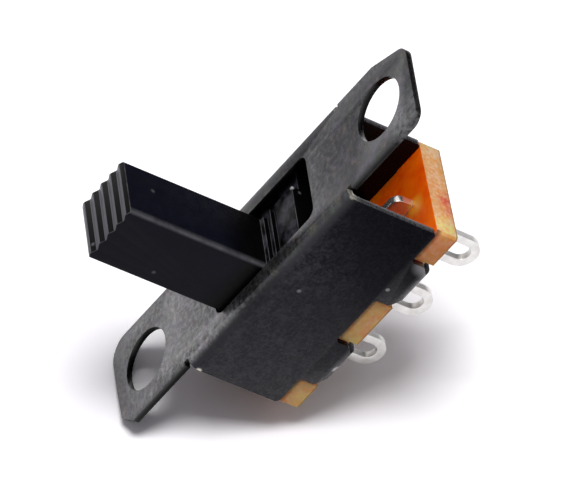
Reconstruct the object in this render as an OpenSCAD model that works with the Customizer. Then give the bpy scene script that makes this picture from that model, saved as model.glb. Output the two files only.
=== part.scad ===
// Miniature slide switch: one pole, two positions, three solder lugs.
// A folded steel frame with two mounting ears grips a laminate base board. A black slider with a
// ribbed knob carries a sprung contact bridge along the tops of the three terminals.
// Millimetres. The origin is the middle of the frame's top face, halfway between the two
// mounting holes. +X runs along the travel, +Z points out of the panel, towards the knob's tip.

/* [Frame] */
// Length of the frame over its two mounting ears
frame_l = 18.92; // [17.8:0.02:23]
// Width of the mounting ears
ear_w = 4.34; // [4:0.02:4.8]
// Radius of the ears' other corners
ear_r = 0.55; // [0.3:0.05:0.6]
// Length of the slanted cut that takes off the +Y corner of the ear at +X
slant_l = 1.95; // [0.8:0.05:2]
// Width taken off by the slanted cut at the ear's end
slant_w = 0.6; // [0.2:0.05:0.8]
// Radius of the +Y corner of the ear at -X
near_r = 0.9; // [0.6:0.05:1.2]
// Length of the cut that takes off the -Y corner of the ear at -X
nip_l = 0.65; // [0.6:0.05:1]
// Width taken off by that cut at the ear's end
nip_w = 0.65; // [0.6:0.05:1]
// Amount by which the end of the ear at -X leans in towards its cut corner
end_lean = 0.08; // [0.02:0.02:0.2]
// Thickness of the steel sheet
sheet = 0.25; // [0.2:0.01:0.32]
// Inside radius of the fold between the top face and each side wall
fold_r = 0.2; // [0.1:0.01:0.3]
// Length of the folded channel
channel_l = 10.18; // [9.4:0.02:13]
// Width over the channel's two side walls
channel_w = 4.9; // [4.8:0.02:6.4]
// Depth of the side walls, from the frame's top face to the base board
wall_h = 4.04; // [3.2:0.01:5]
// Radius of the lower corner at each end of a side wall
wall_r = 0.15; // [0.05:0.01:0.3]
// Length of the relief cut between each fold and its ear
relief_l = 0.25; // [0.15:0.05:0.5]
// Distance between the two mounting holes
hole_pitch = 15; // [14.2:0.1:18]
// Diameter of each mounting hole
hole_d = 2.54; // [2:0.02:2.8]
// Length of the window that the knob slides in
window_l = 6.26; // [5.2:0.02:7.6]
// Width of the window
window_w = 3.1; // [2.8:0.1:3.6]
// Radius of the window's corners
window_r = 0.4; // [0.1:0.05:0.8]

/* [Crimp tabs] */
// Width of each of the four tabs
tab_w = 2.28; // [1.8:0.02:2.8]
// Distance of each tab's middle from the middle of its wall's two tabs
tab_x = 2.4; // [1.7:0.02:3]
// Shift of all four tabs towards -X
tab_shift = 0.1; // [0:0.01:0.2]
// Size of the gusset at each side of a tab's root
tab_root = 0.12; // [0.05:0.01:0.2]
// Inside radius of the fold that wraps a tab under the board
tab_r = 0.35; // [0.2:0.01:0.4]
// Reach of each tab's flat tip under the board, past its fold
tab_tip = 0.3; // [0.2:0.05:0.7]
// Amount by which the tip is narrower than its tab on each side
tab_taper = 0.35; // [0.1:0.05:0.7]

/* [Base board] */
// Thickness of the board
board_t = 0.96; // [0.8:0.02:1.6]
// Amount by which the board is narrower than the channel on each side
board_inset = 0.05; // [0.02:0.01:0.15]
// Shift of the board towards +Y
board_shift = 0.08; // [0:0.01:0.1]
// Overhang of the board past each end of the channel
board_over = 0.07; // [0.02:0.01:0.2]
// Size of the cut at three of the board's corners
board_cut = 0.1; // [0.05:0.05:0.5]
// Amount by which the board's +X end is cut out of square
board_skew = 0.14; // [0.02:0.02:0.3]
// Play between a board cut-out and the metal in it
board_play = 0.02; // [0.01:0.01:0.08]

/* [Terminals] */
// Distance from one terminal to the next
pitch = 3; // [2.7:0.05:3.6]
// Thickness of the terminal strip
strip_t = 0.3; // [0.2:0.02:0.4]
// Width of the solder lug
lug_w = 1.44; // [1:0.02:1.8]
// Reach of the lug below the board
lug_drop = 2.78; // [2.2:0.02:4]
// Width of the metal around the lug's eyelet
lug_band = 0.36; // [0.2:0.01:0.4]
// Length of the eyelet
eyelet_l = 1.5; // [1:0.05:2]
// Width of the contact head above the board
head_w = 2.3; // [2:0.02:2.6]
// Height of the contact head
head_h = 0.84; // [0.5:0.02:0.9]
// Corner radius of the contact head
head_r = 0.4; // [0.1:0.05:0.4]
// Height and reach of the staking burrs that lock a terminal under the board
stake = 0.16; // [0.1:0.01:0.25]
// Width of each staking burr
stake_w = 0.5; // [0.3:0.05:0.8]

/* [Slider] */
// Length of the knob along the travel
knob_l = 2.73; // [2.2:0.01:3.3]
// Width of the knob
knob_w = 2.64; // [2:0.02:2.8]
// Radius of the knob's four upright edges
knob_r = 0.08; // [0.05:0.01:0.3]
// Height of the knob above the frame's top face
knob_h = 5.93; // [3:0.01:8]
// Distance from one grip rib to the next
rib_pitch = 0.57; // [0.45:0.01:0.8]
// Depth of the valleys between the ribs
rib_depth = 0.14; // [0.1:0.01:0.3]
// Share of the pitch taken by the fall on each rib's +X side
rib_lean = 0.5; // [0.2:0.01:0.8]
// Gap between the knob and the window's end at each stop
stop_gap = 0.125; // [0.05:0.005:0.25]
// Width of the raised block on the carriage
block_w = 2.4; // [2:0.02:2.7]
// Height of the block above the carriage's shoulders
block_rise = 0.3; // [0.15:0.01:0.5]
// Running gap between the carriage and the faces above and below it
slide_gap = 0.08; // [0.03:0.01:0.1]
// Running gap between the carriage and each side wall
side_gap = 0.12; // [0.05:0.01:0.2]
// Gap between the carriage's end and the channel's mouth at each stop
mouth_gap = 0.04; // [0.02:0.01:0.3]
// Width of the tunnel under the carriage for the contact heads
tunnel_w = 2.7; // [2.2:0.05:3]
// Gap between the contact heads and the tunnel's roof
head_gap = 0.18; // [0.1:0.01:0.3]
// Width of the flat land between the knob and the first groove
land_w = 0.2; // [0.1:0.01:0.3]
// Width of each moulded groove across the block beside the knob
groove_w = 0.31; // [0.15:0.01:0.4]
// Width of the thin rib between two grooves
groove_rib = 0.11; // [0.06:0.01:0.2]
// Depth of the grooves
groove_depth = 0.22; // [0.1:0.01:0.3]

/* [Contact and spring] */
// Width of the contact bridge
bridge_w = 1.7; // [1.2:0.05:2]
// Thickness of the contact bridge
bridge_t = 0.2; // [0.12:0.01:0.25]
// Length of the bridge past each of its two contact bumps
bridge_end = 0.75; // [0.6:0.05:0.9]
// Depth of the contact bumps
bump_h = 0.15; // [0.08:0.01:0.2]
// Length of each contact bump along the bridge
bump_l = 0.9; // [0.6:0.05:1.1]
// Gap between a bump and the contact head it slides on
contact_gap = 0.01; // [0.005:0.005:0.02]
// Play of the bridge in its pocket
pocket_play = 0.06; // [0.03:0.01:0.12]
// Room above the bridge for it to rise into
bridge_lift = 0.2; // [0.1:0.01:0.3]
// Outside diameter of the contact spring
spring_d = 1.4; // [1:0.05:1.5]
// Diameter of the spring wire
wire_d = 0.18; // [0.12:0.01:0.22]
// Rise of the spring's open coils in each turn
coil_rise = 0.42; // [0.34:0.01:0.6]
// Play of the spring in its bore
spring_play = 0.06; // [0.03:0.01:0.12]
// Thickness of the slider above the spring's bore
bore_roof = 0.7; // [0.5:0.05:1.2]

/* [Hidden] */
$fn = 64;

// Middles of the tabs along a wall
tab_places = [for (side = [-1, 1]) side * tab_x - tab_shift];

// Folded sheet
fold_out = fold_r + sheet;
wall_in = channel_w / 2 - sheet;
flat_w = channel_w - 2 * fold_out;

// Levels, counted down from the frame's top face
board_top = -wall_h;
board_low = board_top - board_t;
tab_low = board_low - sheet;
head_top = board_top + head_h;
lug_tip = board_low - lug_drop;
lug_mid = lug_tip + lug_w / 2;

// Slider
travel = window_l - knob_l - 2 * stop_gap;
slide_x = -travel / 2;
carriage_l = channel_l - travel - 2 * mouth_gap;
carriage_w = 2 * (wall_in - side_gap);
carriage_top = -sheet - slide_gap;
carriage_low = board_top + slide_gap;
tunnel_top = head_top + head_gap;
rib_count = floor((knob_l - rib_pitch / 2) / rib_pitch) + 1;
first_rib = -(rib_count - 1) * rib_pitch / 2;
end_drop = 0.75 * rib_depth;

// Contact and spring
bump_low = head_top + contact_gap;
bridge_low = bump_low + bump_h;
bridge_top = bridge_low + bridge_t;
bridge_l = pitch + 2 * bridge_end;
pocket_top = bridge_top + bridge_lift;
bore_top = carriage_top - bore_roof;
bore_r = spring_d / 2 + spring_play;
coil_r = (spring_d - wire_d) / 2;
closed_rise = 1.1 * wire_d;
seat_gap = 0.01;
coil_low = bridge_top + seat_gap + wire_d / 2;
coil_high = bore_top - seat_gap - wire_d / 2;
open_turns = (coil_high - coil_low - 2 * closed_rise) / coil_rise;
coil_turns = open_turns + 2;
coil_steps = ceil(24 * coil_turns);
wire_sides = 8;

// Extrudes a side view, drawn as X and Z, to a thickness centred on Y
module along_y(thickness) {
    rotate([90, 0, 0])
        translate([0, 0, -thickness / 2])
            linear_extrude(thickness) children();
}

// Extrudes an end view, drawn as Y and Z, to a length centred on X
module along_x(length) {
    rotate([90, 0, 90])
        translate([0, 0, -length / 2])
            linear_extrude(length) children();
}

// Rectangle with round corners
module rounded_bar(length, width, r) {
    square([length, width - 2 * r], center = true);
    square([length - 2 * r, width], center = true);
    for (side_x = [-1, 1], side_y = [-1, 1])
        translate([side_x * (length / 2 - r), side_y * (width / 2 - r)]) circle(r);
}

// Outline of the flange and its ears. The ear at +X has one corner cut on a slant and rounded to
// the same radius. The ear at -X has a rounder corner, a cut one, and an end that leans in.
module flange_outline() {
    end = -frame_l / 2;
    side = ear_w / 2;
    slant = norm([slant_l, slant_w]);
    corner = [frame_l / 2 - ear_r,
              ear_w / 2 - slant_w - ear_r * (slant - slant_w) / slant_l];
    far = [frame_l, ear_w];
    difference() {
        rounded_bar(frame_l, ear_w, ear_r);
        polygon([[frame_l / 2 - slant_l, ear_w / 2],
                 corner + ear_r * [slant_w, slant_l] / slant,
                 corner + [ear_r, 0],
                 [far[0], corner[1]], far, [frame_l / 2 - slant_l, far[1]]]);
        translate([end, side - near_r]) square(near_r);
        polygon([[end, 0], [end + end_lean, nip_w - side],
                 [end + end_lean + nip_l, -side], [end, -side]]);
    }
    translate(corner) circle(ear_r);
    translate([end + near_r, side - near_r]) circle(near_r);
}

// Upright rectangle with two round top corners
module arch(width, top, low, r) {
    intersection() {
        translate([-width / 2, low]) square([width, top - low]);
        union() {
            translate([-width / 2, low]) square([width, top - r - low]);
            translate([-width / 2 + r, low]) square([width - 2 * r, top - low]);
            for (side = [-1, 1])
                translate([side * (width / 2 - r), top - r]) circle(r);
        }
    }
}

// One crimp tab: down past the board's edge, round the fold and in under the board
module crimp_tab(place_x, side_y) {
    tab_out = tab_r + sheet;
    fold_y = channel_w / 2 - tab_out;
    fold_z = tab_low + tab_out;
    tip_w = tab_w - 2 * tab_taper;
    translate([place_x, 0, 0]) {
        intersection() {
            along_x(tab_w + 2 * tab_root) scale([side_y, 1]) {
                translate([wall_in, fold_z]) square([sheet, board_top - fold_z]);
                intersection() {
                    difference() {
                        translate([fold_y, fold_z]) circle(tab_out);
                        translate([fold_y, fold_z]) circle(tab_r);
                    }
                    translate([fold_y, tab_low]) square([tab_out, tab_out]);
                }
            }
            along_y(2 * channel_w)
                polygon([[-tab_w / 2 - tab_root, board_top], [tab_w / 2 + tab_root, board_top],
                         [tab_w / 2, board_top - tab_root], [tab_w / 2, fold_z],
                         [tip_w / 2, board_low], [tip_w / 2, tab_low],
                         [-tip_w / 2, tab_low], [-tip_w / 2, board_low],
                         [-tab_w / 2, fold_z], [-tab_w / 2, board_top - tab_root]]);
        }
        translate([-tip_w / 2, side_y * (fold_y - tab_tip / 2) - tab_tip / 2, tab_low])
            cube([tip_w, tab_tip, sheet]);
    }
}

module frame() {
    color([0.27, 0.27, 0.28]) difference() {
        union() {
            intersection() {
                along_x(channel_l) difference() {
                    arch(channel_w, 0, board_top, fold_out);
                    arch(2 * wall_in, -sheet, board_top - sheet, fold_r);
                }
                along_y(2 * channel_w) mirror([0, 1]) arch(channel_l, wall_h, 0, wall_r);
            }
            translate([0, 0, -sheet]) linear_extrude(sheet) difference() {
                flange_outline();
                for (side = [-1, 1])
                    translate([-channel_l / 2 - relief_l, side > 0 ? flat_w / 2 : -channel_w])
                        square([channel_l + 2 * relief_l, channel_w - flat_w / 2]);
            }
            for (x = tab_places, side = [-1, 1]) crimp_tab(x, side);
        }
        translate([0, 0, -2 * sheet]) linear_extrude(3 * sheet)
            rounded_bar(window_l, window_w, window_r);
        for (side = [-1, 1])
            translate([side * hole_pitch / 2, 0, -2 * sheet]) cylinder(d = hole_d, h = 3 * sheet);
    }
}

module base_board() {
    slot_w = lug_w + 2 * board_play;
    slot_t = strip_t + 2 * board_play;
    half_l = channel_l / 2 + board_over;
    half_w = channel_w / 2 - board_inset;
    notch_w = tab_w + 2 * (tab_root + board_play);
    notch_y = wall_in - board_play;
    chamfer = tab_r + board_play;
    color([0.84, 0.55, 0.22]) difference() {
        translate([0, 0, board_low]) linear_extrude(board_t) difference() {
            translate([0, board_shift])
                polygon([[-half_l + board_cut, -half_w], [half_l - board_cut, -half_w],
                         [half_l, -half_w + board_cut], [half_l - board_skew, half_w],
                         [-half_l + board_cut, half_w], [-half_l, half_w - board_cut],
                         [-half_l, -half_w + board_cut]]);
            for (i = [-1:1])
                translate([i * pitch - slot_w / 2, -slot_t / 2]) square([slot_w, slot_t]);
            for (x = tab_places, side = [-1, 1])
                translate([x - notch_w / 2, side > 0 ? notch_y : -channel_w])
                    square([notch_w, channel_w - notch_y]);
        }
        // Room under each notch for the tab's fold
        for (x = tab_places, side = [-1, 1])
            translate([x, 0, board_low]) along_x(notch_w) scale([side, 1])
                polygon([[notch_y - 2 * chamfer, -chamfer], [notch_y + chamfer, -chamfer],
                         [notch_y + chamfer, 2 * chamfer]]);
    }
}

// Flat strip: contact head on the board, neck through it, solder lug with an eyelet below
module terminal(x) {
    eyelet_r = lug_w / 2 - lug_band;
    color([0.83, 0.83, 0.81]) translate([x, 0, 0]) {
        along_y(strip_t) difference() {
            union() {
                arch(head_w, head_top, board_top, head_r);
                translate([-lug_w / 2, lug_mid]) square([lug_w, board_top - lug_mid]);
                translate([0, lug_mid]) circle(lug_w / 2);
            }
            translate([0, lug_mid]) circle(eyelet_r);
            translate([-eyelet_r, lug_mid]) square([2 * eyelet_r, eyelet_l - 2 * eyelet_r]);
            translate([0, lug_mid + eyelet_l - 2 * eyelet_r]) circle(eyelet_r);
        }
        along_x(stake_w)
            polygon([[-strip_t / 2 - stake, board_low], [strip_t / 2 + stake, board_low],
                     [strip_t / 2, board_low - 2 * stake], [-strip_t / 2, board_low - 2 * stake]]);
    }
}

module terminal_left() { terminal(-pitch); }

module terminal_common() { terminal(0); }

module terminal_right() { terminal(pitch); }

// Side view of the knob: a bar whose tip is cut into leaning ribs
module knob_side() {
    ribs = [for (k = [0:rib_count - 1])
        each [[first_rib + k * rib_pitch, knob_h],
              [first_rib + (k + rib_lean) * rib_pitch, knob_h - rib_depth]]];
    inner = [for (k = [0:len(ribs) - 2]) ribs[k]];
    polygon(concat([[-knob_l / 2, carriage_top - block_rise], [-knob_l / 2, knob_h - end_drop]],
                   inner,
                   [[knob_l / 2, knob_h - end_drop], [knob_l / 2, carriage_top - block_rise]]));
}

module knob() {
    intersection() {
        along_y(knob_w) knob_side();
        translate([0, 0, carriage_low]) linear_extrude(knob_h - carriage_low)
            rounded_bar(knob_l, knob_w, knob_r);
    }
}

module carriage() {
    shoulder = carriage_top - block_rise;
    along_x(carriage_l)
        polygon([[-block_w / 2, carriage_top], [block_w / 2, carriage_top],
                 [block_w / 2, shoulder], [carriage_w / 2, shoulder],
                 [carriage_w / 2, carriage_low], [tunnel_w / 2, carriage_low],
                 [tunnel_w / 2, tunnel_top], [-tunnel_w / 2, tunnel_top],
                 [-tunnel_w / 2, carriage_low], [-carriage_w / 2, carriage_low],
                 [-carriage_w / 2, shoulder], [-block_w / 2, shoulder]]);
}

module slider() {
    pocket_l = bridge_l + 2 * pocket_play;
    pocket_w = bridge_w + 2 * pocket_play;
    color([0.11, 0.11, 0.13]) translate([slide_x, 0, 0]) difference() {
        union() {
            carriage();
            knob();
        }
        translate([-pocket_l / 2, -pocket_w / 2, carriage_low])
            cube([pocket_l, pocket_w, pocket_top - carriage_low]);
        translate([0, 0, carriage_low]) cylinder(r = bore_r, h = bore_top - carriage_low);
        for (side = [-1, 1], k = [0:1])
            translate([side * (knob_l / 2 + land_w + groove_w / 2 + k * (groove_w + groove_rib))
                       - groove_w / 2, -channel_w, carriage_top - groove_depth])
                cube([groove_w, 2 * channel_w, 2 * groove_depth]);
    }
}

// Depth of the bridge's profile at a point along it: two smooth bumps, one pitch apart
function bump(x) = let (d = abs(abs(x) - pitch / 2))
    d < bump_l / 2 ? -bump_h * (1 + cos(360 * d / bump_l)) / 2 : 0;

module contact_bridge() {
    steps = 72;
    xs = [for (i = [0:steps]) bridge_l * (i / steps - 0.5)];
    color([0.72, 0.55, 0.3]) translate([slide_x, 0, 0]) along_y(bridge_w)
        polygon(concat([for (x = xs) [x, bridge_low + bump(x)]],
                       [for (i = [steps:-1:0]) [xs[i], bridge_top + bump(xs[i])]]));
}

// Height of the spring's centre line after a number of turns: closed, open, closed
function coil_z(turn) = coil_low
    + closed_rise * min(turn, 1)
    + coil_rise * max(0, min(turn - 1, open_turns))
    + closed_rise * max(0, turn - 1 - open_turns);

module contact_spring() {
    points = [for (i = [0:coil_steps]) let (turn = coil_turns * i / coil_steps)
        for (j = [0:wire_sides - 1]) let (a = 360 * turn, b = 360 * j / wire_sides,
                                          r = coil_r + wire_d / 2 * cos(b))
            [r * cos(a), r * sin(a), coil_z(turn) + wire_d / 2 * sin(b)]];
    sides = [for (i = [0:coil_steps - 1], j = [0:wire_sides - 1])
        let (n = (j + 1) % wire_sides, low = i * wire_sides, high = low + wire_sides)
            [low + j, high + j, high + n, low + n]];
    start = [for (j = [0:wire_sides - 1]) j];
    end = [for (j = [wire_sides - 1:-1:0]) coil_steps * wire_sides + j];
    color([0.75, 0.75, 0.76]) translate([slide_x, 0, 0])
        polyhedron(points, concat(sides, [start], [end]));
}

frame();
base_board();
terminal_left();
terminal_common();
terminal_right();
slider();
contact_bridge();
contact_spring();
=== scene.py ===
import math

import bmesh
import bpy
from mathutils import Matrix, Vector


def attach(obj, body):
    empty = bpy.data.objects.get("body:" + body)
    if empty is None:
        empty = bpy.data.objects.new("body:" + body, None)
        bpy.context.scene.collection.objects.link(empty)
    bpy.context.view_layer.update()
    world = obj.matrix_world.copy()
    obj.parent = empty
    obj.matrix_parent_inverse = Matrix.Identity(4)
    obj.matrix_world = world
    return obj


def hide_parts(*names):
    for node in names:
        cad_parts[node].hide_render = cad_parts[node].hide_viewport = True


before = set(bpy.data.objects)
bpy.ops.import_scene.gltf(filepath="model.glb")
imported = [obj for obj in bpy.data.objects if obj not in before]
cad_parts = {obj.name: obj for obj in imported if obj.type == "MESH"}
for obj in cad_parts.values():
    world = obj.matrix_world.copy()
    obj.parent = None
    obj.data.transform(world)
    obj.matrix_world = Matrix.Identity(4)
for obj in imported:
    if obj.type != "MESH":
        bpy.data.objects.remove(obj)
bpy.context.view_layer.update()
mm = 0.001
print("frame loaded:", sorted(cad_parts))

# places, sizes and spans are in mm in the part's own axes, and angles in degrees
shot = {
    "place": (151.909, -195.280, 134.276),
    "aim": (-0.29, 0.81, -1.62),
    "up": (0.616, 0.7119, 0.3373),
    "lens": 473.5,
    "sensor": 36,
    "nearest": 5,
    "furthest": 10000,
}


def makeCamera():
    camera = bpy.data.cameras.new("camera")
    camera.lens = shot["lens"]
    camera.sensor_width = shot["sensor"]
    camera.clip_start = shot["nearest"] * mm
    camera.clip_end = shot["furthest"] * mm
    holder = bpy.data.objects.new("camera", camera)
    bpy.context.scene.collection.objects.link(holder)
    back = (Vector(shot["place"]) - Vector(shot["aim"])).normalized()
    right = Vector(shot["up"]).cross(back).normalized()
    turn = Matrix((right, back.cross(right), back)).transposed()
    holder.matrix_world = Matrix.Translation(Vector(shot["place"]) * mm) @ turn.to_4x4()
    bpy.context.scene.camera = holder


makeCamera()
print("camera placed")

# what the materials share
whole = (0.0, 1.0)
softSpotCore = 0.3  # share of a mark's reach that has its full strength
spotCore = 0.5  # the same for a dust spot
stainAndShadePatches = {"scale": 4.5, "detail": 3, "span": (0.35, 0.6)}


def startMaterial(name, look):
    material = bpy.data.materials.new(name)
    material.use_nodes = True
    shader = material.node_tree.nodes["Principled BSDF"]
    sockets = {"metallic": "Metallic", "roughness": "Roughness", "specular": "Specular IOR Level"}
    for key, socket in sockets.items():
        if not isinstance(look[key], tuple):  # a pair varies over the surface and is linked later
            shader.inputs[socket].default_value = look[key]
    return material, material.node_tree, shader


def addNode(tree, kind, settings=None, **inputs):
    node = tree.nodes.new(kind)
    for key, value in (settings or {}).items():
        setattr(node, key, value)
    for key, value in inputs.items():
        socket = node.inputs[key]
        if isinstance(value, bpy.types.NodeSocket):
            tree.links.new(value, socket)
        else:
            socket.default_value = value
    return node


def millimetres(tree, stretch=(1, 1, 1)):
    place = addNode(tree, "ShaderNodeTexCoord").outputs["Object"]
    scale = [s / mm for s in stretch]
    return addNode(tree, "ShaderNodeMapping", Vector=place, Scale=scale).outputs["Vector"]


def axisValue(tree, vector, axis):
    return addNode(tree, "ShaderNodeSeparateXYZ", Vector=vector).outputs[axis]


def faceMark(tree, name):
    return addNode(tree, "ShaderNodeAttribute", {"attribute_name": name}).outputs["Fac"]


def calc(tree, operation, a, b=None):
    node = tree.nodes.new("ShaderNodeMath")
    node.operation = operation
    for index, value in enumerate((a, b)):
        if isinstance(value, bpy.types.NodeSocket):
            tree.links.new(value, node.inputs[index])
        elif value is not None:
            node.inputs[index].default_value = value
    return node.outputs[0]


def times(tree, a, b):
    return calc(tree, "MULTIPLY", a, b)


def remap(tree, value, span, gives=whole, smooth=False):
    kind = "SMOOTHSTEP" if smooth else "LINEAR"
    node = addNode(tree, "ShaderNodeMapRange", {"interpolation_type": kind, "clamp": True}, Value=value)
    for key, number in zip(("From Min", "From Max", "To Min", "To Max"), (*span, *gives)):
        node.inputs[key].default_value = number
    return node.outputs["Result"]


# scale is in cells per mm
def speckle(tree, vector, scale, detail=4, roughness=0.6):
    texture = addNode(tree, "ShaderNodeTexNoise", Vector=vector, Scale=scale, Detail=detail,
                      Roughness=roughness)
    return texture.outputs["Fac"]


# the noise within span becomes a mask that runs over gives
def mottle(tree, vector, span, gives=whole, **grain):
    return remap(tree, speckle(tree, vector, **grain), span, gives)


def mixColour(tree, factor, a, b):
    node = tree.nodes.new("ShaderNodeMix")
    node.data_type = "RGBA"
    factorSocket, aSocket, bSocket = node.inputs[0], node.inputs[6], node.inputs[7]  # those for colours
    for socket, value in ((factorSocket, factor), (aSocket, a), (bSocket, b)):
        if isinstance(value, bpy.types.NodeSocket):
            tree.links.new(value, socket)
        elif isinstance(value, tuple):
            socket.default_value = (*value, 1)
        else:
            socket.default_value = value
    return node.outputs[2]


def addRelief(tree, shader, place, distance, **grain):
    height = speckle(tree, place, **grain)
    bump = addNode(tree, "ShaderNodeBump", Height=height, Distance=distance * mm, Strength=1.0)
    tree.links.new(bump.outputs["Normal"], shader.inputs["Normal"])


def softSpot(tree, place, centre, reach):
    away = addNode(tree, "ShaderNodeVectorMath", {"operation": "DISTANCE"})
    tree.links.new(place, away.inputs[0])
    away.inputs[1].default_value = centre
    return remap(tree, away.outputs["Value"], (reach, softSpotCore * reach), smooth=True)


# real stains and painted shade are broken up by noise, and glints are whole
def addMarks(tree, place, colour, look, kind):
    for centre, reach, name, strength in look[kind]:
        amount = times(tree, softSpot(tree, place, centre, reach), strength)
        if kind == "stainsAndShade":
            amount = times(tree, amount, mottle(tree, place, **stainAndShadePatches))
        colour = mixColour(tree, amount, colour, look[name])
    return colour


def dustSpots(tree, place, spacing, size, share):
    cells = addNode(tree, "ShaderNodeTexVoronoi", Vector=place, Scale=1 / spacing)
    pick = addNode(tree, "ShaderNodeSeparateColor", Color=cells.outputs["Color"]).outputs["Red"]
    near = remap(tree, cells.outputs["Distance"], (size / spacing, spotCore * size / spacing))
    return times(tree, near, calc(tree, "LESS_THAN", pick, share))


# what the meshes share
meshing = {"weld": 0.0005, "flat": 0.5, "smooth": 30, "bevelProfile": 0.5}


def cleanCopy(nodeName):
    bm = bmesh.new()
    bm.from_mesh(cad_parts[nodeName].data)
    bmesh.ops.remove_doubles(bm, verts=bm.verts, dist=meshing["weld"] * mm)
    bmesh.ops.dissolve_limit(bm, angle_limit=math.radians(meshing["flat"]), verts=bm.verts, edges=bm.edges)
    return bm


def sharpEdges(bm, degrees):
    limit = math.radians(degrees)
    return [e for e in bm.edges if len(e.link_faces) == 2 and e.calc_face_angle(0) > limit]


def softenEdges(bm, edges, width, segments, mark):
    layer = bm.faces.layers.float.get(mark) or bm.faces.layers.float.new(mark)
    result = bmesh.ops.bevel(
        bm, geom=edges, offset=width * mm, offset_type="OFFSET", segments=segments,
        profile=meshing["bevelProfile"], affect="EDGES", clamp_overlap=True, material=-1)
    for face in result["faces"]:
        face[layer] = 1.0
        face.smooth = True


def softenSharp(bm, look):
    softenEdges(bm, sharpEdges(bm, look["sharp"]), look["edge"], look["segments"], "edge")


def finishPiece(bm, name, body, nodes, material):
    mesh = bpy.data.meshes.new(name)
    bm.to_mesh(mesh)
    bm.free()
    piece = bpy.data.objects.new(name, mesh)
    bpy.context.scene.collection.objects.link(piece)
    mesh.materials.append(material)
    mesh.polygons.foreach_set("use_smooth", [True] * len(mesh.polygons))
    mesh.set_sharp_from_angle(angle=math.radians(meshing["smooth"]))
    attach(piece, body)
    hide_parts(*nodes)
    print("made", name, len(mesh.polygons), "faces")


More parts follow.
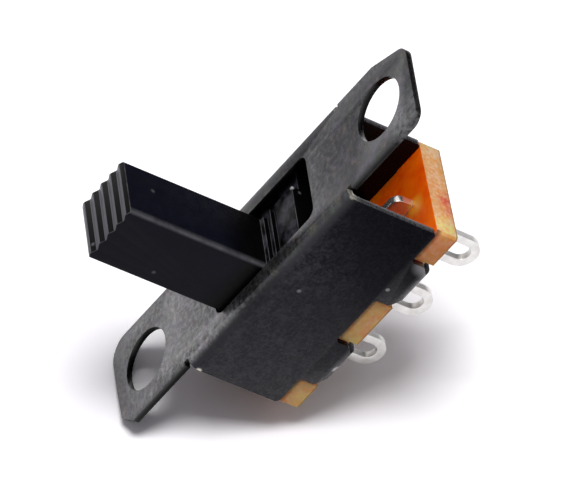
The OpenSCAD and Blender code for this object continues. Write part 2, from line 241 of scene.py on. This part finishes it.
# the frame: one folded sheet, its top face painted paler towards the -X end as a painted reflection, its
# near-black side walls darkened with painted shade, and its cut edges painted dark as shade with a painted
# highlight along their top
steel = {
    "metallic": 0.85, "roughness": (0.24, 0.4), "specular": 0.1,
    "edge": 0.03, "segments": 2, "sharp": 40,
    "cutBand": 0.26, "cutTilt": 0.3,  # a cut face is this close to the top and this upright
    "mouth": 5, "lipFacing": 0.9,  # the +X ends of the walls lie past the mouth and face +X
    # colours of the top face, then of the side walls, then of cut edges and marks
    # near and far are the ends of a painted reflection that makes the top face paler towards the -X ear
    "near": (0.320, 0.316, 0.320), "far": (0.070, 0.071, 0.077), "dark": (0.035, 0.035, 0.037),
    "brown": (0.22, 0.165, 0.13), "green": (0.13, 0.165, 0.115), "violet": (0.16, 0.14, 0.20),
    # the wall colours paint shade that darkens the walls away from the -X end and downwards
    "wallNear": (0.0115, 0.0115, 0.0155), "wallMid": (0.0085, 0.0085, 0.011),
    # the fold colour paints a highlight along the bend
    "wallFar": (0.0015, 0.0015, 0.003), "bloom": (0.060, 0.062, 0.070), "fold": (0.040, 0.040, 0.045),
    # the cut colours paint the cut faces dark as shade, with a highlight along their top
    "cut": (0.006, 0.006, 0.006), "cutTopHighlight": (0.042, 0.042, 0.042), "lip": (0.17, 0.17, 0.18),
    # the lip and cream colours paint a highlight on the +X wall ends, and cream also paints glints
    "wearAndHighlight": (0.20, 0.205, 0.21), "bright": (0.62, 0.62, 0.63), "creamHighlight": (0.75, 0.72, 0.62),
    "shade": (0.012, 0.012, 0.014),
    # noise for each kind of mottling
    "streak": (1.0, 0.45, 1.0),  # long way of the rolling marks
    "cloud": {"scale": 1.1, "detail": 5, "span": (0.3, 0.7)},
    "grain": {"scale": 5.5, "detail": 5, "roughness": 0.7, "span": (0.41, 0.59)},
    "topPatches": {"scale": 4.6, "detail": 5, "roughness": 0.7, "span": (0.42, 0.6), "gives": (0.55, 0.0)},
    "oil": {"scale": 1.9, "detail": 4.0, "span": (0.5, 0.68), "gives": (0.0, 0.35)},
    "bloomed": {"scale": 2.6, "detail": 6, "roughness": 0.75, "span": (0.46, 0.64), "gives": (0.0, 0.5)},
    "grit": {"scale": 6.5, "detail": 5, "roughness": 0.7, "span": (0.46, 0.62), "gives": (0.0, 0.45)},
    "dust": {"spacing": 0.8, "size": 0.05, "share": 0.15},
    "relief": {"scale": 7, "detail": 6, "roughness": 0.7, "distance": 0.006},
    # how strongly the noise, the wear and the painted rim shade show
    "cloudDark": (0.3, 0.0), "grainDark": (0.55, 0.0), "edgeWear": 0.12, "rimDark": 0.55,
    "wallGrain": {"span": (0.1, 0.9), "gives": (0.0, 0.6)},
    # spans along X
    "reflectionPaleEnd": (1.5, -4.5), "earTip": {"span": (-9.0, -5.8), "gives": (0.6, 1.0)}, "ears": (5.0, 5.2),
    "vergeFrom": (-2.0, 0.0), "brinkTo": (1.5, 0.0),
    # spans along Y
    "farHalf": (0.0, 0.2), "rimBand": (1.9, 2.16), "vergeBand": (1.35, 1.9), "brinkBand": (2.12, 2.3),
    # spans along Z
    "foldBand": (-0.5, -0.1), "topBand": (-0.19, -0.03), "lipHighlightBand": (-0.65, -0.15),
    "cutTopHighlightBand": (-0.14, -0.02),
    # spans of X less Z, which grows towards the far lower corner of a wall
    "wallMidFrom": (0.6, 3.2), "wallFarFrom": (3.0, 7.5),
    "bloomFade": {"span": (5.0, 0.0), "gives": (0.06, 1.0)},
    "gritFade": {"span": (5.0, 0.0), "gives": (0.1, 1.0)},
    # painted shade and shadow, the knob's shadow among them, and one painted light patch on the +X ear
    "stainsAndShade": (  # place, reach, colour, strength
        ((3.7, 0.4, 0), 2.7, "shade", 0.8), ((3.2, 2.1, 0), 2.7, "shade", 0.65),
        ((6.6, 2.1, 0), 2.2, "shade", 0.55), ((-8.8, 0.5, 0), 1.6, "shade", 0.15),
        ((-7.4, -1.0, 0), 1.3, "shade", 0.3), ((-7.7, 0.3, 0), 0.9, "shade", 0.5),
        ((-1.3, -2.05, 0), 1.1, "shade", 0.8), ((-0.9, -2.3, 0), 0.9, "shade", 0.3),
        ((3.6, 0.2, 0), 1.8, "shade", 0.7), ((3.5, -1.3, 0), 1.0, "shade", 0.35),
        ((8.8, -1.6, 0), 1.3, "wearAndHighlight", 0.6)),
    # glints: painted highlights and painted reflections on the walls, their ends and the tabs
    "glints": (
        ((5.12, -2.38, -0.16), 0.17, "creamHighlight", 0.4), ((-5.09, -2.45, -0.42), 0.16, "creamHighlight", 0.7),
        ((3.6, -2.3, -4.8), 0.8, "bright", 0.25), ((-2.65, -2.3, -5.0), 0.22, "bright", 0.9),
        ((1.84, -2.45, -4.15), 0.12, "wearAndHighlight", 0.7), ((0.2, -2.45, -1.27), 0.12, "wearAndHighlight", 0.5)),
}


# mottled, with faint oil colours, and paler towards the -X ear as a painted reflection of the bright floor
def topColour(tree, place, cloud, grain):
    along = axisValue(tree, place, "X")
    # painted reflection: the top face grows paler towards the -X ear
    paleReflection = remap(tree, along, steel["reflectionPaleEnd"], smooth=True)
    paleReflection = times(tree, paleReflection, remap(tree, along, **steel["earTip"]))
    colour = mixColour(tree, paleReflection, steel["far"], steel["near"])
    colour = mixColour(tree, remap(tree, cloud, whole, steel["cloudDark"]), colour, steel["dark"])
    oil = steel["oil"]
    tint = addNode(tree, "ShaderNodeTexNoise", Vector=place, Scale=oil["scale"], Detail=oil["detail"])
    parts = addNode(tree, "ShaderNodeSeparateColor", Color=tint.outputs["Color"])
    for channel, name in (("Red", "brown"), ("Green", "green"), ("Blue", "violet")):
        amount = remap(tree, parts.outputs[channel], oil["span"], oil["gives"])
        colour = mixColour(tree, amount, colour, steel[name])
    colour = mixColour(tree, remap(tree, grain, whole, steel["grainDark"]), colour, steel["dark"])
    patches = mottle(tree, place, **steel["topPatches"])
    return mixColour(tree, times(tree, patches, paleReflection), colour, steel["dark"])


# painted shade: darker away from the -X end and downwards, with a mottled bloom
def wallColour(tree, place, grain):
    depth = axisValue(tree, place, "Z")
    slope = calc(tree, "SUBTRACT", axisValue(tree, place, "X"), depth)
    middle = remap(tree, slope, steel["wallMidFrom"], smooth=True)
    colour = mixColour(tree, middle, steel["wallNear"], steel["wallMid"])
    colour = mixColour(tree, remap(tree, slope, steel["wallFarFrom"]), colour, steel["wallFar"])
    colour = mixColour(tree, remap(tree, grain, **steel["wallGrain"]), colour, steel["wallFar"])
    for patches, fade in (("bloomed", "bloomFade"), ("grit", "gritFade")):
        amount = mottle(tree, place, **steel[patches])
        amount = times(tree, amount, remap(tree, slope, **steel[fade]))
        colour = mixColour(tree, amount, colour, steel["bloom"])
    colour = mixColour(tree, dustSpots(tree, place, **steel["dust"]), colour, steel["wearAndHighlight"])
    # painted highlight along the bend between the top face and the walls
    return mixColour(tree, remap(tree, depth, steel["foldBand"], smooth=True), colour, steel["fold"])


# painted shade along the -Y and +Y rims of the top face
def shadeRims(tree, place, colour):
    along = axisValue(tree, place, "X")
    side = axisValue(tree, place, "Y")
    across = calc(tree, "ABSOLUTE", side)
    ears = remap(tree, calc(tree, "ABSOLUTE", along), steel["ears"])
    earsOrFar = calc(tree, "MAXIMUM", ears, remap(tree, side, steel["farHalf"]))
    bands = (
        (remap(tree, across, steel["rimBand"]), earsOrFar),
        (remap(tree, side, steel["vergeBand"]), remap(tree, along, steel["vergeFrom"])),
        (remap(tree, across, steel["brinkBand"]), remap(tree, along, steel["brinkTo"])),
    )
    for band, reach in bands:
        amount = times(tree, times(tree, band, reach), steel["rimDark"])
        colour = mixColour(tree, amount, colour, steel["shade"])
    return colour


def blackenedSteel():
    material, tree, shader = startMaterial("blackenedSteel", steel)
    place = millimetres(tree)
    streaks = millimetres(tree, steel["streak"])
    depth = axisValue(tree, place, "Z")
    cloud = mottle(tree, streaks, **steel["cloud"])
    grain = mottle(tree, streaks, **steel["grain"])
    top = topColour(tree, place, cloud, grain)
    wall = wallColour(tree, place, grain)
    colour = mixColour(tree, remap(tree, depth, steel["topBand"], smooth=True), wall, top)
    colour = mixColour(tree, times(tree, faceMark(tree, "edge"), steel["edgeWear"]), colour, steel["wearAndHighlight"])
    colour = shadeRims(tree, place, colour)
    # painted highlight on the +X wall ends, brighter towards the top
    lip = mixColour(tree, remap(tree, depth, steel["lipHighlightBand"], smooth=True), steel["lip"], steel["creamHighlight"])
    colour = mixColour(tree, faceMark(tree, "lip"), colour, lip)
    # cut faces painted dark as shade, with a painted highlight along their rolled top edge
    cut = mixColour(tree, remap(tree, depth, steel["cutTopHighlightBand"]), steel["cut"], steel["cutTopHighlight"])
    colour = mixColour(tree, faceMark(tree, "cut"), colour, cut)
    # painted shade and shadow, then glints as painted highlights
    colour = addMarks(tree, place, colour, steel, "stainsAndShade")
    colour = addMarks(tree, place, colour, steel, "glints")
    tree.links.new(colour, shader.inputs["Base Color"])
    tree.links.new(remap(tree, grain, whole, steel["roughness"]), shader.inputs["Roughness"])
    addRelief(tree, shader, place, **steel["relief"])
    return material


def makeFrame():
    bm = cleanCopy("frame")
    cut = bm.faces.layers.float.new("cut")
    lip = bm.faces.layers.float.new("lip")
    for face in bm.faces:
        centre = face.calc_center_median() / mm
        if abs(face.normal.z) < steel["cutTilt"] and centre.z > -steel["cutBand"]:
            face[cut] = 1.0
        elif face.normal.x > steel["lipFacing"] and centre.x > steel["mouth"]:
            face[lip] = 1.0
    softenSharp(bm, steel)
    finishPiece(bm, "frameSheet", "housing", ["frame"], blackenedSteel())


makeFrame()

# the base board: sawn laminate that lets some light through, with a painted glow on its upper face
board = {
    "metallic": 0, "roughness": (0.8, 0.25), "specular": 0.4,  # roughness of the sawn edges, then the faces
    "edge": 0.03, "segments": 2, "sharp": 40,
    "skinFacing": 0.9, "flankFacing": 0.6,  # least part of a normal along Z and along Y
    "glow": 0.6, "glowDepth": (2.6, 0.45, 0.05),
    "leak": 0.06, "lit": (1.0, 0.04, 0.0), "unlit": (0.0, 0.0, 0.0),
    # colours of the faces, then of the sawn edges
    "face": (1.0, 0.17, 0.002), "faceDark": (0.85, 0.09, 0.0), "faceGlare": (1.0, 0.42, 0.03),
    "below": (0.22, 0.12, 0.05),
    "cut": (1.0, 0.45, 0.20), "cutOrange": (0.95, 0.33, 0.08), "cutPale": (1.0, 0.60, 0.38),
    "cutRed": (0.85, 0.10, 0.06), "cutYellow": (0.93, 0.72, 0.25), "cutBrown": (0.14, 0.07, 0.03),
    "tan": (1.0, 0.56, 0.20), "speck": (0.62, 0.30, 0.16),
    # noise for each kind of mottling
    "faceMottle": {"scale": 1.1, "detail": 3, "span": (0.35, 0.6)},
    "paper": (
        ("cutOrange", {"scale": 4.0, "detail": 5, "roughness": 0.65, "span": (0.36, 0.64)}),
        ("cutPale", {"scale": 5.5, "detail": 5, "roughness": 0.65, "span": (0.46, 0.66)}),
        ("speck", {"scale": 8, "detail": 4, "roughness": 0.7, "span": (0.56, 0.68), "gives": (0, 0.45)})),
    "flankPatches": {"scale": 2.4, "detail": 4, "span": (0.42, 0.58), "gives": (0.1, 0.75)},
    "relief": {"scale": 9, "detail": 5, "roughness": 0.7, "distance": 0.02},
    # spans along X, then how far below the upper face and above the lower one the shades run
    "tanTo": (3.4, 2.8), "orangeFrom": {"span": (2.8, 3.4), "gives": (0.0, 0.4)},
    "belowBand": (0.2, 0.1), "wallShadowBand": (0.26, 0.1), "wallShadowDark": 0.85,
    "footBand": (0.09, 0.02), "footDark": (0, 0.8), "litBand": 0.1,
    "stainsAndShade": (  # place, reach, colour, strength
        ((5.15, -0.45, -4.95), 0.75, "cutRed", 1.0), ((5.15, -1.0, -4.8), 0.35, "cutRed", 0.4),
        ((5.15, -1.85, -4.45), 0.7, "cutYellow", 1.0), ((5.1, 2.2, -4.7), 0.4, "cutPale", 0.8),
        ((-1.0, -2.4, -4.7), 0.5, "cutYellow", 0.7), ((-4.5, -2.4, -4.8), 0.5, "cutYellow", 0.7)),
    # a painted reflection of light from the contact head on the upper face
    "glints": (((4.25, -0.2, -4.04), 0.6, "faceGlare", 0.8),),
}


def faceColour(tree, place, depth, low, high):
    colour = mixColour(tree, mottle(tree, place, **board["faceMottle"]), board["faceDark"], board["face"])
    # painted reflection of light from the contact head
    colour = addMarks(tree, place, colour, board, "glints")
    down, rest = board["belowBand"]
    return mixColour(tree, remap(tree, depth, (high - down, low + rest)), colour, board["below"])


# sawn edges: mottled paper layers, stained in places, with a painted shadow along the top of the flanks
# under the walls and darker along the bottom
def sawnColour(tree, place, depth, low, high):
    colour = board["cut"]
    for name, grain in board["paper"]:
        colour = mixColour(tree, mottle(tree, place, **grain), colour, board[name])
    colour = addMarks(tree, place, colour, board, "stainsAndShade")
    flank = faceMark(tree, "flank")
    along = axisValue(tree, place, "X")
    patches = mottle(tree, place, **board["flankPatches"])
    patches = times(tree, patches, remap(tree, along, board["tanTo"]))
    colour = mixColour(tree, times(tree, flank, patches), colour, board["tan"])
    orange = times(tree, flank, remap(tree, along, **board["orangeFrom"]))
    colour = mixColour(tree, orange, colour, board["cutOrange"])
    # painted shadow cast by the walls' bottom edge onto the top of the flanks
    deep, shallow = board["wallShadowBand"]
    wallShadow = times(tree, remap(tree, depth, (high - deep, high - shallow)), flank)
    colour = mixColour(tree, times(tree, wallShadow, board["wallShadowDark"]), colour, board["cutBrown"])
    upper, lower = board["footBand"]
    foot = remap(tree, depth, (low + upper, low + lower), board["footDark"])
    return mixColour(tree, foot, colour, board["cutBrown"])


def laminate():
    material, tree, shader = startMaterial("laminate", board)
    place = millimetres(tree)
    depth = axisValue(tree, place, "Z")
    heights = [v.co.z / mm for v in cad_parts["base_board"].data.vertices]
    low, high = min(heights), max(heights)
    skin = faceMark(tree, "skin")
    sawn = sawnColour(tree, place, depth, low, high)
    colour = mixColour(tree, skin, sawn, faceColour(tree, place, depth, low, high))
    tree.links.new(colour, shader.inputs["Base Color"])
    tree.links.new(remap(tree, skin, whole, board["roughness"]), shader.inputs["Roughness"])
    # painted glow: a faint emission on the upper face stands in for light that enters at the edges and
    # leaves through it
    upper = times(tree, skin, remap(tree, depth, (high - board["litBand"], high)))
    light = mixColour(tree, upper, board["unlit"], board["lit"])
    tree.links.new(light, shader.inputs["Emission Color"])
    shader.inputs["Emission Strength"].default_value = board["leak"]
    shader.inputs["Subsurface Weight"].default_value = board["glow"]
    shader.inputs["Subsurface Radius"].default_value = board["glowDepth"]
    shader.inputs["Subsurface Scale"].default_value = mm
    addRelief(tree, shader, place, **board["relief"])
    return material


def makeBoard():
    bm = cleanCopy("base_board")
    skin = bm.faces.layers.float.new("skin")
    flank = bm.faces.layers.float.new("flank")
    for face in bm.faces:
        face[skin] = 1.0 if abs(face.normal.z) > board["skinFacing"] else 0.0
        face[flank] = 1.0 if abs(face.normal.y) > board["flankFacing"] else 0.0
    softenSharp(bm, board)
    finishPiece(bm, "boardLaminate", "housing", ["base_board"], laminate())


makeBoard()

# the three lugs: dull below the board, with burnished contact heads above it
lugs = {
    "metallic": (0.7, 0.9), "roughness": (0.42, 0.24), "specular": 0.4,  # below the board, then above
    "edge": 0.11, "segments": 4, "sharp": 40,
    "silver": (0.91, 0.90, 0.875), "dull": (0.74, 0.73, 0.70),
    "tarnish": {"scale": 2.5, "detail": 4, "span": (0.4, 0.7)},
    "relief": {"scale": 5, "detail": 4, "distance": 0.01},
    "boardTop": -4.04, "blend": 0.1,
}


def silverPlate():
    material, tree, shader = startMaterial("silverPlate", lugs)
    place = millimetres(tree)
    colour = mixColour(tree, mottle(tree, place, **lugs["tarnish"]), lugs["silver"], lugs["dull"])
    tree.links.new(colour, shader.inputs["Base Color"])
    span = (lugs["boardTop"] - lugs["blend"], lugs["boardTop"] + lugs["blend"])
    head = remap(tree, axisValue(tree, place, "Z"), span)
    tree.links.new(remap(tree, head, whole, lugs["roughness"]), shader.inputs["Roughness"])
    tree.links.new(remap(tree, head, whole, lugs["metallic"]), shader.inputs["Metallic"])
    addRelief(tree, shader, place, **lugs["relief"])
    return material


def makeTerminals():
    material = silverPlate()
    for side in ("left", "common", "right"):
        bm = cleanCopy("terminal_" + side)
        softenSharp(bm, lugs)
        finishPiece(bm, side + "Lug", "housing", ["terminal_" + side], material)


makeTerminals()

# the slider: knob, block and carriage in one black moulding, with edges partly worn and partly painted as
# highlights, a painted highlight on the knob's +X/-Y ridge, painted lit and shaded rib faces and a painted
# glare on the block
plastic = {
    "metallic": 0, "roughness": (0.3, 0.45), "specular": 0.08,
    "edge": 0.02, "segments": 2, "sharp": 25,
    "ribEdge": 0.05, "ribDeep": 0.25, "ribFacing": 0.2, "ribUp": 0.5, "flatFacing": 0.9,
    "black": (0.0024, 0.0026, 0.0068), "grey": (0.0042, 0.0044, 0.0098), "deep": (0.0008, 0.0008, 0.001),
    # this line's first colour also paints the ridge and edge highlights, and its rib colours paint lit and
    # shaded rib faces
    "wearAndHighlight": (0.075, 0.075, 0.083), "ribLit": (0.12, 0.122, 0.135), "ribShaded": (0.0015, 0.0015, 0.002),
    # this line's first colour paints a glare on the block's top, and its last a highlight on the block's
    # far corner
    "blockGlare": (0.035, 0.035, 0.045), "dust": (0.09, 0.09, 0.1), "glintWhite": (0.42, 0.42, 0.43),
    # noise for each kind of mottling
    "tone": {"scale": 1.2, "detail": 4, "span": (0.35, 0.7)},
    "shine": {"scale": 3, "detail": 4, "span": (0.3, 0.7)},
    "blockGlarePatches": {"scale": 1.6, "detail": 3, "span": (0.42, 0.6)},
    "edgePatches": {"scale": 2.5, "detail": 4, "span": (0.35, 0.6), "gives": (0.3, 1.0)},
    "ridgeHighlightPatches": {"scale": 2.2, "detail": 3, "span": (0.35, 0.6), "gives": (0.6, 1.0)},
    "spots": {"spacing": 0.9, "size": 0.1, "share": 0.3},
    "relief": {"scale": 8, "detail": 4, "distance": 0.006},
    # how far the painted ridge highlight reaches from the knob's +X and -Y sides, and where it is full
    "cornerX": (0.12, 0.02), "cornerY": (0.32, 0.08), "knobAbove": 1,
    # spans along Z that lie in the shade of the window
    "innerShade": (2.0, 0.4), "footShade": (1.0, 0.25),
    # glints: a painted highlight on the block's far +X corner, and a dust speck on the knob
    "glints": (((1.76, 1.15, -0.33), 0.14, "glintWhite", 1.0), ((-0.275, 0.34, 4.64), 0.12, "dust", 0.6)),
}


# painted highlight along the knob's +X/-Y ridge
def ridgeHighlight(tree, place):
    vertices = [v.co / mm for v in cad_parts["slider"].data.vertices]
    knob = [v for v in vertices if v.z > plastic["knobAbove"]]
    edgeX = max(v.x for v in knob)
    edgeY = min(v.y for v in knob)
    startX, fullX = plastic["cornerX"]
    startY, fullY = plastic["cornerY"]
    onX = remap(tree, axisValue(tree, place, "X"), (edgeX - startX, edgeX - fullX))
    onY = remap(tree, axisValue(tree, place, "Y"), (edgeY + startY, edgeY + fullY))
    return times(tree, times(tree, onX, onY), mottle(tree, place, **plastic["ridgeHighlightPatches"]))


def blackPlastic():
    material, tree, shader = startMaterial("blackPlastic", plastic)
    place = millimetres(tree)
    height = axisValue(tree, place, "Z")
    inner = remap(tree, height, plastic["innerShade"], smooth=True)
    edgeWearAndSheen = mottle(tree, place, **plastic["edgePatches"])
    layers = (
        (times(tree, inner, faceMark(tree, "inner")), "deep"),
        (remap(tree, height, plastic["footShade"], smooth=True), "deep"),
        # painted highlight along the knob's ridge
        (ridgeHighlight(tree, place), "wearAndHighlight"),
        # painted glare on the block's top
        (times(tree, mottle(tree, place, **plastic["blockGlarePatches"]), faceMark(tree, "block")), "blockGlare"),
        # painted lit and painted shaded rib faces
        (faceMark(tree, "ribLit"), "ribLit"),
        (faceMark(tree, "ribShaded"), "ribShaded"),
        # edges partly worn and partly a painted highlight
        (times(tree, faceMark(tree, "edge"), edgeWearAndSheen), "wearAndHighlight"),
        (dustSpots(tree, place, **plastic["spots"]), "dust"),
    )
    colour = mixColour(tree, mottle(tree, place, **plastic["tone"]), plastic["black"], plastic["grey"])
    for amount, name in layers:
        colour = mixColour(tree, amount, colour, plastic[name])
    colour = addMarks(tree, place, colour, plastic, "glints")
    tree.links.new(colour, shader.inputs["Base Color"])
    shine = mottle(tree, place, gives=plastic["roughness"], **plastic["shine"])
    tree.links.new(shine, shader.inputs["Roughness"])
    addRelief(tree, shader, place, **plastic["relief"])
    return material


def makeSlider():
    bm = cleanCopy("slider")
    marks = {name: bm.faces.layers.float.new(name) for name in ("inner", "block", "ribLit", "ribShaded")}
    top = max(v.co.z for v in bm.verts)
    ribFloor = top - plastic["ribDeep"] * mm
    for face in bm.faces:
        centre = face.calc_center_median()
        normal = face.normal
        rib = centre.z > ribFloor and normal.z > plastic["ribUp"]
        face[marks["inner"]] = 1.0 if normal.x > plastic["flatFacing"] and centre.z > 0 else 0.0
        face[marks["block"]] = 1.0 if normal.z > plastic["flatFacing"] and centre.z < 0 else 0.0
        face[marks["ribLit"]] = 1.0 if rib and normal.x < -plastic["ribFacing"] else 0.0
        face[marks["ribShaded"]] = 1.0 if rib and normal.x > plastic["ribFacing"] else 0.0
    ribs = [e for e in sharpEdges(bm, plastic["sharp"])
            if all(f.normal.z > plastic["ribUp"] for f in e.link_faces)
            and min(v.co.z for v in e.verts) > ribFloor]
    softenEdges(bm, ribs, plastic["ribEdge"], plastic["segments"], "ribLit")
    for face in bm.faces:
        if face[marks["ribLit"]] > 0.5:
            face[marks["ribShaded"]] = 0.0
    softenSharp(bm, plastic)
    finishPiece(bm, "sliderMoulding", "slider", ["slider"], blackPlastic())


makeSlider()

# the contact bridge and its spring keep their own meshes and get a metal finish
inside = {
    "contact_bridge": {"metallic": 1, "roughness": 0.3, "specular": 0.5, "colour": (0.62, 0.42, 0.2)},
    "contact_spring": {"metallic": 1, "roughness": 0.25, "specular": 0.5, "colour": (0.6, 0.6, 0.62)},
}
rolled = {
    "tarnish": {"scale": 3, "detail": 4, "span": (0.4, 0.7)},
    "darkening": 0.7,
    "relief": {"scale": 8, "detail": 3, "distance": 0.004},
}


def rolledMetal(name, look):
    material, tree, shader = startMaterial(name, look)
    place = millimetres(tree)
    dark = tuple(rolled["darkening"] * c for c in look["colour"])
    colour = mixColour(tree, mottle(tree, place, **rolled["tarnish"]), look["colour"], dark)
    tree.links.new(colour, shader.inputs["Base Color"])
    addRelief(tree, shader, place, **rolled["relief"])
    return material


def dressInside():
    for name, look in inside.items():
        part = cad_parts[name]
        part.data.materials.clear()
        part.data.materials.append(rolledMetal(name + "Metal", look))
        print("dressed", name)


dressInside()

# the floor is tilted to the way the switch lies, and the light follows the floor
studio = {
    "floorNormal": (0.812, -0.085, 0.577), "floorSize": 240,
    "paper": (0.55, 0.55, 0.56), "paperSeen": (1.27, 1.25, 1.28),
    # world: straight up, level with the floor, how fast it fades, and as the camera sees it
    "ambient": (0.50, 0.4925, 0.5175), "horizon": (0.05, 0.05, 0.0525), "fade": 2.0,
    "background": (1.0, 1.0, 1.0),
}
up = Vector(studio["floorNormal"]).normalized()
towardCamera = (Vector(shot["place"]) - up * Vector(shot["place"]).dot(up)).normalized()
leftward = towardCamera.cross(up)


def seenRays(tree):
    rays = addNode(tree, "ShaderNodeLightPath")
    seen = calc(tree, "MAXIMUM", rays.outputs["Is Camera Ray"], rays.outputs["Is Glossy Ray"])
    return calc(tree, "MAXIMUM", seen, rays.outputs["Is Transmission Ray"])


def stageSheet(name, size, place, facing, material):
    bm = bmesh.new()
    bmesh.ops.create_grid(bm, x_segments=1, y_segments=1, size=size / 2 * mm)
    bmesh.ops.transform(bm, matrix=facing.to_track_quat("Z", "Y").to_matrix().to_4x4(), verts=bm.verts)
    bmesh.ops.translate(bm, vec=place, verts=bm.verts)
    mesh = bpy.data.meshes.new(name)
    bm.to_mesh(mesh)
    bm.free()
    sheet = bpy.data.objects.new(name, mesh)
    bpy.context.scene.collection.objects.link(sheet)
    mesh.materials.append(material)
    return sheet


# a dark card beside the switch, which only reflections see
card = {"size": 110, "right": 55, "away": 62, "high": 20, "colour": (0.02, 0.02, 0.025), "specular": 0}


def makeDarkCard():
    material = bpy.data.materials.new("darkCard")
    material.use_nodes = True
    shader = material.node_tree.nodes["Principled BSDF"]
    shader.inputs["Base Color"].default_value = (*card["colour"], 1)
    shader.inputs["Specular IOR Level"].default_value = card["specular"]
    place = (card["right"] * -leftward - card["away"] * towardCamera + card["high"] * up) * mm
    sheet = stageSheet("darkCard", card["size"], place, -place.normalized(), material)
    sheet.visible_camera = False
    sheet.visible_diffuse = False
    sheet.visible_shadow = False
    sheet.visible_transmission = False


# white paper that lights the switch less than it shows, and is clear from below
def paperMaterial():
    material = bpy.data.materials.new("paper")
    material.use_nodes = True
    tree = material.node_tree
    tree.nodes.clear()
    colour = mixColour(tree, seenRays(tree), studio["paper"], studio["paperSeen"])
    paper = addNode(tree, "ShaderNodeBsdfDiffuse", Color=colour)
    clear = addNode(tree, "ShaderNodeBsdfTransparent")
    mix = tree.nodes.new("ShaderNodeMixShader")
    tree.links.new(addNode(tree, "ShaderNodeNewGeometry").outputs["Backfacing"], mix.inputs[0])
    tree.links.new(paper.outputs[0], mix.inputs[1])
    tree.links.new(clear.outputs[0], mix.inputs[2])
    tree.links.new(mix.outputs[0], addNode(tree, "ShaderNodeOutputMaterial").inputs["Surface"])
    return material


def makeFloor():
    low = min(up.dot(v.co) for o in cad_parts.values() for v in o.data.vertices)
    stageSheet("floor", studio["floorSize"], up * low, up, paperMaterial())


def makeWorld():
    world = bpy.data.worlds.new("world")
    bpy.context.scene.world = world
    world.use_nodes = True
    tree = world.node_tree
    tree.nodes.clear()
    facing = addNode(tree, "ShaderNodeVectorMath", {"operation": "DOT_PRODUCT"})
    tree.links.new(addNode(tree, "ShaderNodeTexCoord").outputs["Generated"], facing.inputs[0])
    facing.inputs[1].default_value = up
    rise = calc(tree, "POWER", calc(tree, "MAXIMUM", facing.outputs["Value"], 0.0), studio["fade"])
    soft = mixColour(tree, rise, studio["horizon"], studio["ambient"])
    colour = mixColour(tree, seenRays(tree), soft, studio["background"])
    background = addNode(tree, "ShaderNodeBackground", Color=colour, Strength=1.0)
    tree.links.new(background.outputs[0], addNode(tree, "ShaderNodeOutputWorld").inputs["Surface"])


# a round lamp: how far left, toward the camera and up from the switch, its size, and its watts
key = {"left": -5, "toward": 8, "high": 300, "size": 140, "power": 0.70}


def makeKeyLight():
    lamp = bpy.data.lights.new("key", "AREA")
    lamp.shape = "DISK"
    lamp.size = key["size"] * mm
    lamp.energy = key["power"]
    holder = bpy.data.objects.new("key", lamp)
    bpy.context.scene.collection.objects.link(holder)
    place = key["left"] * leftward + key["toward"] * towardCamera + key["high"] * up
    holder.location = place * mm
    holder.rotation_euler = place.to_track_quat("Z", "Y").to_euler()


makeDarkCard()
makeFloor()
makeWorld()
makeKeyLight()
bpy.context.scene.view_settings.view_transform = "Standard"
print("studio ready")
